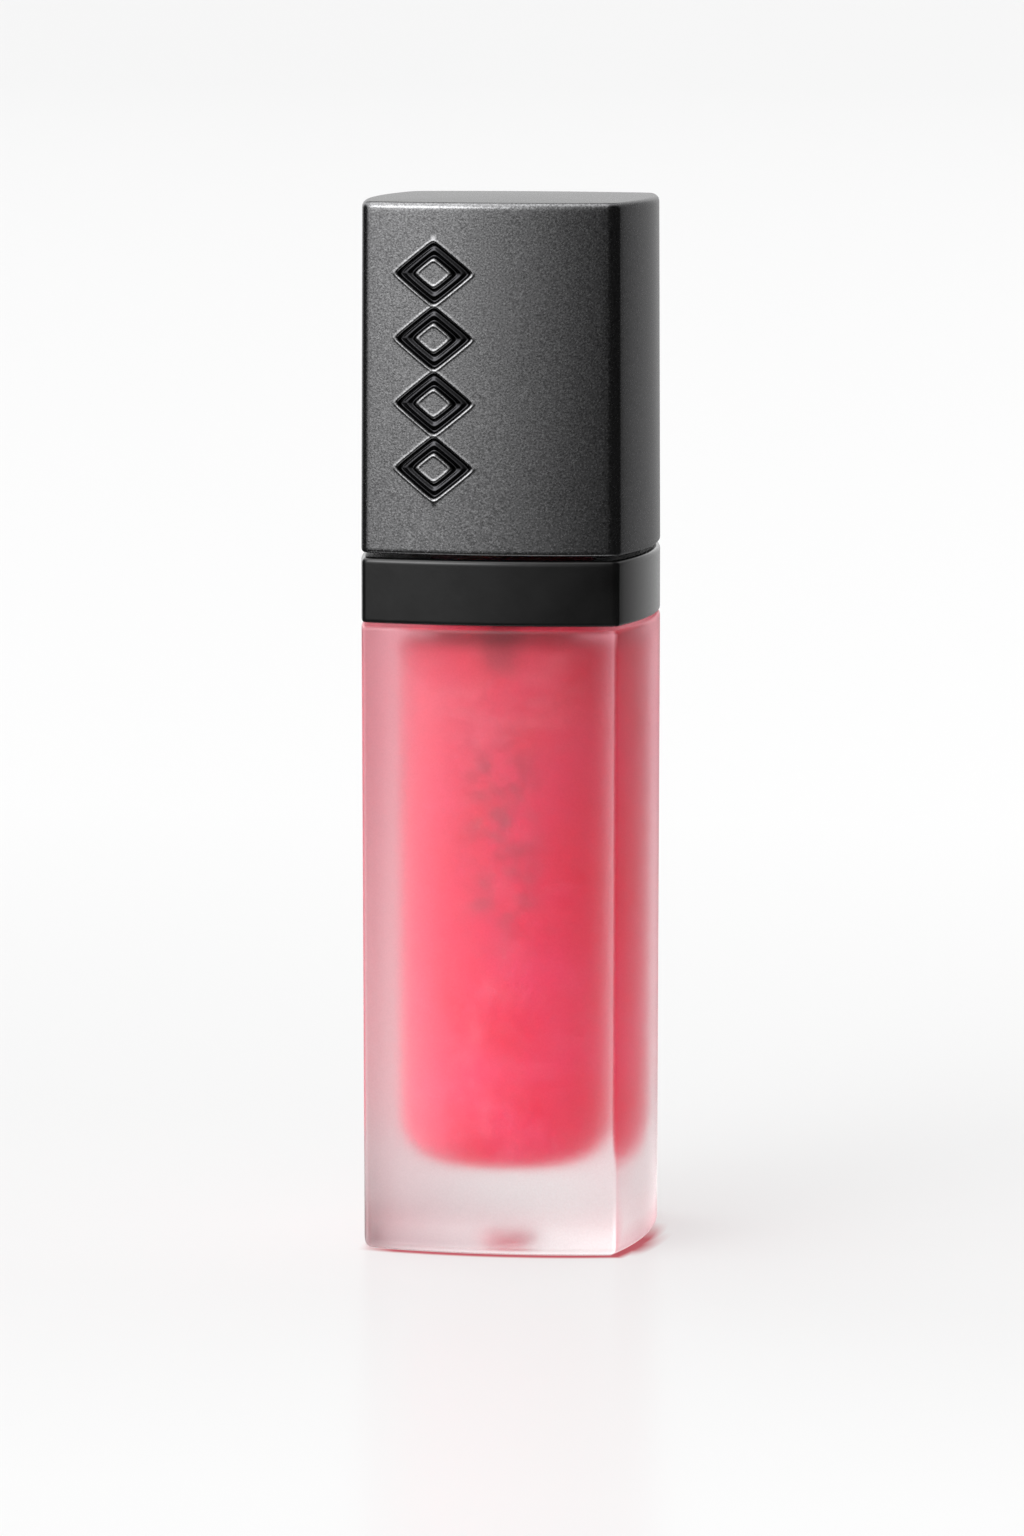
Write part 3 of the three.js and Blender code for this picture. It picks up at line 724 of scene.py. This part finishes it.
def black_moulded():
    n = Nodes("black_moulded")
    fine = n.noise(4.0, 4.0)
    n.link(n.mix(n.remap(fine, 0.3, 0.7, 0.0, 1.0), (0.014, 0.014, 0.015), (0.026, 0.026, 0.027)),
           n.shader.inputs["Base Color"])
    n.link(n.remap(fine, 0.3, 0.7, 0.28, 0.42), n.shader.inputs["Roughness"])
    n.bump(fine, 0.1, 0.02)
    return n.material


def painted_corner_glow(n, across, height, radius):
    """Share of painted pink light from the gloss in the corners, growing upwards, and in a line down the
    left ones.
    """
    climb = n.math("ADD", n.remap(height, 0.0, 12.0, 0.1, 0.5), n.remap(height, 12.0, 42.0, 0.0, 0.6))
    corners = n.math("MULTIPLY", n.remap(radius, 10.4, 12.4, 0.0, 1.0), climb)
    left_line = n.math("MULTIPLY", n.remap(radius, 12.6, 12.9, 0.0, 0.4),
                       n.remap(across, -8.8, -8.0, 1.0, 0.0))
    return n.math("MAXIMUM", corners, left_line)


def painted_right_glow(n, right_face, from_corner, height):
    """Share of painted pink light from the gloss on the right face: its foot, its upper part and a stripe
    along its front corner.
    """
    ends = n.math("MAXIMUM", n.remap(height, 4.0, 38.0, 0.1, 1.0), n.remap(height, 0.3, 2.4, 0.8, 0.0))
    stripe = n.math("MULTIPLY", n.remap(from_corner, 0.3, 2.6, 1.0, 0.0),
                    n.remap(height, 1.0, 4.0, 1.0, 0.5))
    return n.math("MULTIPLY", right_face, n.math("MAXIMUM", ends, stripe))


def shaded_frost(n, frost, across, height):
    """The colour of the frost, with painted shade at the left and along the foot."""
    clear, hazy, dusky, dark = (1.0, 1.0, 1.0), (0.98, 0.95, 0.952), (0.82, 0.68, 0.7), (0.55, 0.42, 0.44)
    plain = n.mix(n.remap(frost, 0.4, 0.6, 0.0, 1.0), clear, hazy)
    # painted shade at the left of the bottle
    left = n.math("MINIMUM", n.remap(across, -9.2, -7.4, 0.0, 1.0), n.remap(across, -8.0, 5.0, 1.0, 0.0))
    shaded = n.mix(n.math("MULTIPLY", left, n.remap(height, 1.0, 14.0, 1.0, 0.5)), plain, dusky)
    # painted shade along the foot, just above the base's edge
    foot = n.math("MULTIPLY", n.band(height, 0.4, 0.7, 0.9, 2.0), n.band(across, -9.2, -8.4, -8.0, 8.0))
    return n.mix(foot, shaded, dark)


def frosted_plastic():
    """Fine-grained frost, with painted pink light from the gloss in its corners, right face, top and gate,
    and painted shade at its left and foot.
    """
    n = Nodes("frosted_plastic")
    coral, rose = (0.92, 0.4, 0.46), (0.74, 0.27, 0.33)
    deep_rose, salmon = (0.78, 0.22, 0.3), (0.97, 0.6, 0.58)
    frost = n.noise(5.5, 3.0, 0.65)
    smear = n.noise(0.35, 3.0)
    across, depth, height = n.axes()
    radius = n.distance(across, depth)
    from_corner = n.math("ADD", across, depth)
    right_face = n.math("MINIMUM", n.remap(from_corner, 0.0, 0.3, 0.0, 1.0),
                        n.remap(n.math("SUBTRACT", across, depth), 0.0, 0.3, 0.0, 1.0))
    # Painted pink light from the gloss: in the corners, on the right face, across the top and beside the
    # right face, deeper rose towards the back of the right face.
    sides = n.math("MAXIMUM", painted_corner_glow(n, across, height, radius),
                   painted_right_glow(n, right_face, from_corner, height))
    high = n.math("MULTIPLY", n.remap(n.math("ADD", height, smear), 39.5, 44.5, 0.0, 1.0),
                  n.remap(height, 47.0, 50.0, 1.0, 0.3))
    rosy = n.mix(n.math("MULTIPLY", right_face, n.remap(depth, -7.0, 7.0, 0.0, 1.0)), coral, deep_rose)
    upper = n.mix(n.band(across, 5.0, 7.5, 8.8, 9.3), coral, rose)
    painted_glow_colour = n.mix(n.math("MAXIMUM", sides, high), shaded_frost(n, frost, across, height),
                    n.mix(high, rosy, upper))
    # Painted pink light from the gloss at the gate.
    gate = n.math("MULTIPLY", n.remap(radius, 1.7, 2.4, 0.2, 0.0), n.band(height, 0.3, 0.4, 1.0, 1.3))
    grained = n.add("ShaderNodeVectorMath", operation="SCALE")
    n.link(n.mix(gate, painted_glow_colour, salmon), grained.inputs[0])
    n.link(n.remap(n.noise(7.5, 2.0, 0.6), 0.35, 0.65, 1.0, 0.92), grained.inputs["Scale"])
    n.link(grained.outputs["Vector"], n.shader.inputs["Base Color"])
    rough = n.math("MULTIPLY", n.remap(frost, 0.3, 0.7, 0.38, 0.48), n.remap(height, 0.02, 0.15, 0.35, 1.0))
    n.link(rough, n.shader.inputs["Roughness"])
    n.set(transmission_weight=1.0, ior=1.47)
    n.bump(frost, 0.25, 0.03)
    return n.material


def coral_gloss():
    """Paler at the left and higher up, as painted light, streaked near the top and mottled where the
    applicator hangs, with painted shade around the axis under the collar. Glows by emission, most at its
    foot, as painted light.
    """
    n = Nodes("coral_gloss")
    deep, mid, light = (0.93, 0.016, 0.075), (0.98, 0.045, 0.145), (1.0, 0.27, 0.36)
    milky, murky, sparkle = (1.0, 0.28, 0.35), (0.42, 0.08, 0.12), (1.0, 0.6, 0.62)
    swirl = n.noise(0.16, 4.0, 0.55)
    cream = n.noise(0.45, 5.0, 0.6)
    shimmer = n.noise(9.0, 1.0)
    across, _, height = n.axes()
    layers = n.add("ShaderNodeVectorMath", operation="MULTIPLY")
    layers.inputs[1].default_value = (0.25, 0.25, 1.3)
    n.link(n.places(), layers.inputs[0])
    streak = n.noise(1.0, 3.0, 0.5, layers.outputs["Vector"])
    base = n.mix(n.remap(swirl, 0.35, 0.65, 0.0, 1.0), deep, mid)
    # painted light: the gloss is made paler towards the left and lighter higher up
    pale = n.math("MULTIPLY", n.remap(cream, 0.45, 0.7, 0.0, 0.65), n.remap(across, -5.0, 3.0, 1.0, 0.1))
    lit = n.math("ADD", n.remap(across, -7.0, -1.0, 0.75, 0.0), n.remap(height, 24.0, 40.0, 0.0, 0.2))
    creamy = n.mix(n.math("MAXIMUM", pale, lit), base, light)
    upper = n.math("MULTIPLY", n.remap(height, 36.0, 42.0, 0.0, 1.0), n.remap(streak, 0.42, 0.68, 0.0, 0.7))
    layered = n.mix(upper, creamy, milky)
    middle = n.band(height, 20.0, 26.0, 34.0, 41.0)
    side = n.math("ABSOLUTE", n.math("SUBTRACT", across, 0.5), 0.0)
    within = n.math("MULTIPLY", middle, n.remap(side, 1.2, 3.6, 1.0, 0.0))
    patch = n.math("MULTIPLY", within, n.remap(n.noise(0.7, 4.0, 0.6), 0.45, 0.62, 0.0, 0.8))
    # painted shade around the axis at the gloss's top, under the collar
    painted_neck_shade = n.math("MULTIPLY", n.band(height, 41.5, 43.0, 46.0, 48.0), n.remap(side, 0.6, 2.0, 0.7, 0.0))
    mottled = n.mix(n.math("MAXIMUM", patch, painted_neck_shade), layered, murky)
    # lighter flecks: painted glints
    glint = n.mix(n.remap(shimmer, 0.62, 0.74, 0.0, 0.7), mottled, sparkle)
    n.link(glint, n.shader.inputs["Base Color"])
    # painted light: the gloss glows by emission, most at its foot
    n.link(glint, n.shader.inputs["Emission Color"])
    n.link(n.remap(height, 12.0, 42.0, 0.29, 0.1), n.shader.inputs["Emission Strength"])
    n.link(n.remap(cream, 0.3, 0.7, 0.25, 0.4), n.shader.inputs["Roughness"])
    n.set(subsurface_weight=0.3, subsurface_scale=0.0012)
    n.shader.inputs["Subsurface Radius"].default_value = (1.0, 0.35, 0.3)
    return n.material


def soft_white():
    n = Nodes("soft_white")
    cloud = n.noise(1.2, 3.0)
    n.link(n.mix(n.remap(cloud, 0.3, 0.7, 0.0, 1.0), (0.82, 0.76, 0.76), (0.88, 0.84, 0.83)),
           n.shader.inputs["Base Color"])
    n.link(n.remap(cloud, 0.3, 0.7, 0.4, 0.5), n.shader.inputs["Roughness"])
    n.set(subsurface_weight=0.3, subsurface_scale=0.001)
    return n.material


def seal_foam():
    n = Nodes("seal_foam")
    cells = n.add("ShaderNodeTexVoronoi", feature="F1")
    cells.inputs["Scale"].default_value = 6.0
    n.link(n.places(), cells.inputs["Vector"])
    depth = cells.outputs["Distance"]
    n.link(n.mix(n.remap(depth, 0.0, 0.7, 0.0, 1.0), (0.7, 0.69, 0.67), (0.86, 0.85, 0.83)),
           n.shader.inputs["Base Color"])
    n.set(roughness=0.8)
    n.bump(depth, 0.3, 0.03)
    return n.material


def tip_rubber():
    n = Nodes("tip_rubber")
    fine = n.noise(5.0, 3.0)
    n.link(n.mix(n.remap(fine, 0.3, 0.7, 0.0, 1.0), (0.03, 0.03, 0.03), (0.05, 0.05, 0.05)),
           n.shader.inputs["Base Color"])
    n.link(n.remap(fine, 0.3, 0.7, 0.55, 0.7), n.shader.inputs["Roughness"])
    n.bump(fine, 0.15, 0.03)
    return n.material


def stained_flock():
    n = Nodes("stained_flock")
    fibre = n.noise(16.0, 3.0, 0.7)
    patch = n.noise(0.7, 3.0)
    dry = n.mix(n.remap(fibre, 0.3, 0.7, 0.0, 1.0), (0.62, 0.2, 0.24), (0.86, 0.42, 0.44))
    n.link(n.mix(n.remap(patch, 0.4, 0.6, 0.0, 1.0), dry, (0.78, 0.1, 0.16)),
           n.shader.inputs["Base Color"])
    n.link(n.remap(patch, 0.4, 0.6, 0.85, 0.45), n.shader.inputs["Roughness"])
    n.set(sheen_weight=0.5, sheen_roughness=0.4)
    n.bump(fibre, 0.7, 0.08)
    return n.material


def beyond_face(n, out, along):
    """How far a place on the floor lies beyond the bowed foot of a face, in millimetres."""
    fall = n.math("MULTIPLY", n.math("MULTIPLY", along, along), FACE_CURVE)
    return n.math("ADD", out, n.math("SUBTRACT", fall, half_at(0)))


def pale_floor():
    """Painted light: brightest a hand's width behind the tube, with a painted crimson contact shadow and
    pink glow from the gloss at the base's front and right.
    """
    n = Nodes("pale_floor")
    black, white, painted_gloss_light = (0.0, 0.0, 0.0), (1.0, 1.0, 1.0), (0.64, 0.145, 0.175)
    across, depth, _ = n.axes()
    beyond = n.math("MAXIMUM", beyond_face(n, n.math("ABSOLUTE", across, 0.0), depth),
                    beyond_face(n, n.math("ABSOLUTE", depth, 0.0), across))
    lit_side = n.math("MULTIPLY", n.remap(across, -9.8, -7.0, 0.0, 1.0),
                      n.remap(depth, -2.0, 5.0, 1.0, 0.0))
    # painted crimson contact shadow and pink light along the base's foot, at its front and right
    painted_contact_line = n.math("MULTIPLY", n.band(beyond, -0.6, -0.4, 0.2, 0.9), lit_side)
    # painted pink glow from the gloss on the floor beside the right face
    glow = n.math("MULTIPLY", n.band(beyond_face(n, across, depth), -0.6, -0.4, 0.3, 1.6),
                  n.band(depth, -9.0, -6.5, -4.5, 1.0))
    # painted light on the floor: dimmest around the tube, brighter behind and in front of it, fading far
    # away
    near = n.math("MAXIMUM", n.remap(depth, 50.0, 240.0, 0.94, 1.0),
                  n.remap(depth, -90.0, -25.0, 0.99, 0.94))
    shade = n.math("MULTIPLY", near, n.remap(depth, 300.0, 3000.0, 1.0, 0.93))
    paint = n.mix(shade, black, n.mix(n.math("MAXIMUM", painted_contact_line, glow), white, painted_gloss_light))
    n.link(n.mix(FLOOR_ALBEDO, black, paint), n.shader.inputs["Base Color"])
    n.link(paint, n.shader.inputs["Emission Color"])
    n.set(emission_strength=0.635, roughness=0.6, specular_ior_level=0.0)
    n.set(coat_weight=0.17, coat_roughness=0.2)
    return n.material


# ---- Assembly ----

PIECES = [
    (make_bottle, frosted_plastic, "bottle", "bottle", "frosted_plastic"),
    (make_collar, black_satin, "collar", "bottle", "black_satin"),
    (make_wiper, soft_white, "wiper", "bottle", "soft_white"),
    (make_gloss, coral_gloss, "gloss_fill", "gloss", "gloss"),
    (make_washer, seal_foam, "seal_washer", "seal", "seal_foam"),
    (make_cap, charcoal_lacquer, "outer_cap", "cap", "charcoal_lacquer"),
    (make_inner_cap, black_moulded, "inner_cap", "cap", "black_plastic"),
    (make_stem, black_moulded, "applicator_stem", "cap", "black_plastic"),
    (make_tip_core, tip_rubber, "applicator_tip", "cap", "tip_core"),
    (make_flocking, stained_flock, "tip_flocking", "cap", "flock"),
]


def make_pieces():
    materials = {}
    for make, material, node, body, slot in PIECES:
        if material not in materials:
            materials[material] = material()
        piece = make()
        piece.data.materials.append(materials[material])
        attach(piece, body)
        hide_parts(node)


# ---- Studio ----

VIEW_AZIMUTH = math.radians(10)          # of the camera, from -Y towards +X
VIEW_PITCH = math.radians(6.83)          # downwards
CAMERA_DISTANCE = 0.5406                 # from the tube's axis, level
AIM_HEIGHT = 0.0343                      # where the view's middle meets the tube's axis
LENS = 174.2

# The room is bright all round, but for its dark sides. Azimuth from the camera's side towards +X,
# elevation, inner and outer half angle, all in degrees, then the share taken away or the brightness.
ROOM_LIGHT = 1.9
ROOM_FILL = 0.03
HORIZON = (-0.2, 0.12)                   # sines of the elevations between which the room brightens
DARK_SIDES = [
    (80, 0, 52, 110, 1.0),               # right
    (-100, 0, 12, 42, 1.0),              # left
    (178, 10, 8, 38, 0.6),               # behind
    (190, 38, 8, 26, 0.6),               # behind, higher up
]
SOFT_LIGHTS = [
    (-30, 26, 6, 24, 4.3),               # soft box at the front left
    (-60, 72, 10, 38, 0.9),              # overhead
    (175, -22, 5, 45, 0.46),             # behind the right side
    (180, 20, 4, 18, 0.5),               # behind, above the horizon
    (198, 20, 4, 16, 0.25),              # the same, to its left
    (0, -90, 10, 50, 0.8),               # below, in place of the floor's reflection
]
BACKGROUND = 0.93
FLOOR_REACH = 40.0
FLOOR_ALBEDO = 0.255                     # the floor's paint also glows, so it reflects less than it shows
FLOOR_GAP = 0.00003                      # a hair of air under the base


def direction(azimuth, elevation):
    a, e = math.radians(azimuth), math.radians(elevation)
    return Vector((math.sin(a) * math.cos(e), -math.cos(a) * math.cos(e), math.sin(e)))


def make_camera():
    data = bpy.data.cameras.new("camera")
    data.lens = LENS
    data.sensor_width = 36
    data.clip_start = 0.01
    data.clip_end = 100
    camera = bpy.data.objects.new("camera", data)
    bpy.context.scene.collection.objects.link(camera)
    rise = AIM_HEIGHT + CAMERA_DISTANCE * math.tan(VIEW_PITCH)
    camera.location = (CAMERA_DISTANCE * math.sin(VIEW_AZIMUTH),
                       -CAMERA_DISTANCE * math.cos(VIEW_AZIMUTH), rise)
    camera.rotation_euler = (math.pi / 2 - VIEW_PITCH, 0, VIEW_AZIMUTH)
    bpy.context.scene.camera = camera


def make_room_light():
    """The room's light. The camera itself sees a plain pale background."""
    world = bpy.data.worlds.new("studio")
    bpy.context.scene.world = world
    world.use_nodes = True
    tree = world.node_tree
    tree.nodes.clear()
    coordinates = tree.nodes.new("ShaderNodeTexCoord")

    def combine(operation, first, second):
        node = tree.nodes.new("ShaderNodeMath")
        node.operation = operation
        tree.links.new(first, node.inputs[0])
        if isinstance(second, float):
            node.inputs[1].default_value = second
        else:
            tree.links.new(second, node.inputs[1])
        return node.outputs["Value"]

    def eased_range(value, start, end, low, high):
        node = tree.nodes.new("ShaderNodeMapRange")
        node.interpolation_type = "SMOOTHSTEP"
        numbers = (start, end, low, high)
        for key, number in zip(("From Min", "From Max", "To Min", "To Max"), numbers):
            node.inputs[key].default_value = number
        tree.links.new(value, node.inputs["Value"])
        return node.outputs["Result"]

    def lobe(azimuth, elevation, inner, outer, low, high):
        dot = tree.nodes.new("ShaderNodeVectorMath")
        dot.operation = "DOT_PRODUCT"
        dot.inputs[1].default_value = direction(azimuth, elevation)
        tree.links.new(coordinates.outputs["Generated"], dot.inputs[0])
        edges = math.cos(math.radians(outer)), math.cos(math.radians(inner))
        return eased_range(dot.outputs["Value"], *edges, low, high)

    height = tree.nodes.new("ShaderNodeSeparateXYZ")
    tree.links.new(coordinates.outputs["Generated"], height.inputs["Vector"])
    total = eased_range(height.outputs["Z"], *HORIZON, 0.0, ROOM_LIGHT)
    for *place, depth in DARK_SIDES:
        total = combine("MULTIPLY", total, lobe(*place, 1.0, 1.0 - depth))
    total = combine("ADD", total, ROOM_FILL)
    for *place, brightness in SOFT_LIGHTS:
        total = combine("ADD", total, lobe(*place, 0.0, brightness))
    room = tree.nodes.new("ShaderNodeBackground")
    tree.links.new(total, room.inputs["Strength"])
    plain = tree.nodes.new("ShaderNodeBackground")
    plain.inputs["Strength"].default_value = BACKGROUND
    for node in (room, plain):
        node.inputs["Color"].default_value = (1, 1, 1, 1)
    path = tree.nodes.new("ShaderNodeLightPath")
    mix = tree.nodes.new("ShaderNodeMixShader")
    output = tree.nodes.new("ShaderNodeOutputWorld")
    tree.links.new(path.outputs["Is Camera Ray"], mix.inputs["Fac"])
    tree.links.new(room.outputs["Background"], mix.inputs[1])
    tree.links.new(plain.outputs["Background"], mix.inputs[2])
    tree.links.new(mix.outputs["Shader"], output.inputs["Surface"])


def make_floor():
    mesh = bpy.data.meshes.new("floor")
    signs = ((-1, -1), (1, -1), (1, 1), (-1, 1))
    corners = [(x * FLOOR_REACH, y * FLOOR_REACH, -FLOOR_GAP) for x, y in signs]
    mesh.from_pydata(corners, [], [(0, 1, 2, 3)])
    mesh.materials.append(pale_floor())
    floor = bpy.data.objects.new("floor", mesh)
    bpy.context.scene.collection.objects.link(floor)
    floor.visible_glossy = False         # its place in reflections is taken by the room


make_camera()
make_room_light()
make_floor()
make_pieces()
bpy.context.scene.view_settings.view_transform = "Standard"
